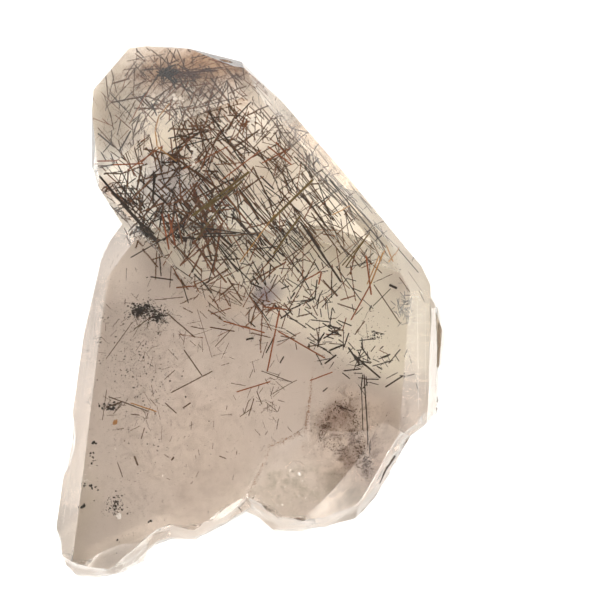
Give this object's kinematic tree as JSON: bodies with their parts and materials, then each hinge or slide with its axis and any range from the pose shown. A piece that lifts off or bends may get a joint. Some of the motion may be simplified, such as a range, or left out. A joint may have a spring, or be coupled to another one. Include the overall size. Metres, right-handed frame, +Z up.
{
  "type": "rutilated quartz crystal cluster",
  "caption": "Small cluster of intergrown smoky quartz crystals full of fine rutile needles: a stout point across two broad broken prisms, lying flat on its back.",
  "frame": {"origin": "middle of the cluster's box at its flat back, which rests on the surface", "axes": "+Y towards the crystal points, +X to the right seen from above, +Z up through the cluster's thickness"},
  "size_m": [0.0442, 0.0602, 0.0188],
  "materials": {
    "smoky_quartz": "clear to hazy pale smoky quartz with glassy natural faces, packed with brown and black rutile needles"
  },
  "bodies": {
    "root": {"quartz_cluster": "smoky_quartz"}
  },
  "joints": []
}
